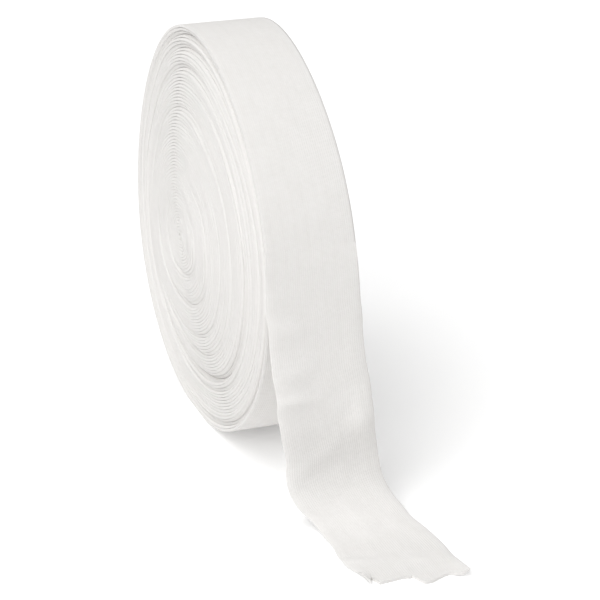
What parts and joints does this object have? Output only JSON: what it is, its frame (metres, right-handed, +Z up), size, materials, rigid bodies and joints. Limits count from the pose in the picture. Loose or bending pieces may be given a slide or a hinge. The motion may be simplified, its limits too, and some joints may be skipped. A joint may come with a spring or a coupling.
{
  "type": "compression stockinette roll",
  "caption": "Coreless roll of white tubular knit stockinette standing on its edge, its loose end run out flat in front.",
  "frame": {"origin": "middle of the flat spot on which the roll stands, under its axis", "axes": "+Z up; +X along the roll's axis, away from its domed side; the loose end runs towards -Y"},
  "size_m": [0.073, 0.3307, 0.2113],
  "materials": {
    "wound_knit": "matte fine knit, white",
    "loose_knit": "matte fine knit, white"
  },
  "bodies": {
    "root": {"wound_roll": "wound_knit", "loose_end": "loose_knit"}
  },
  "joints": []
}
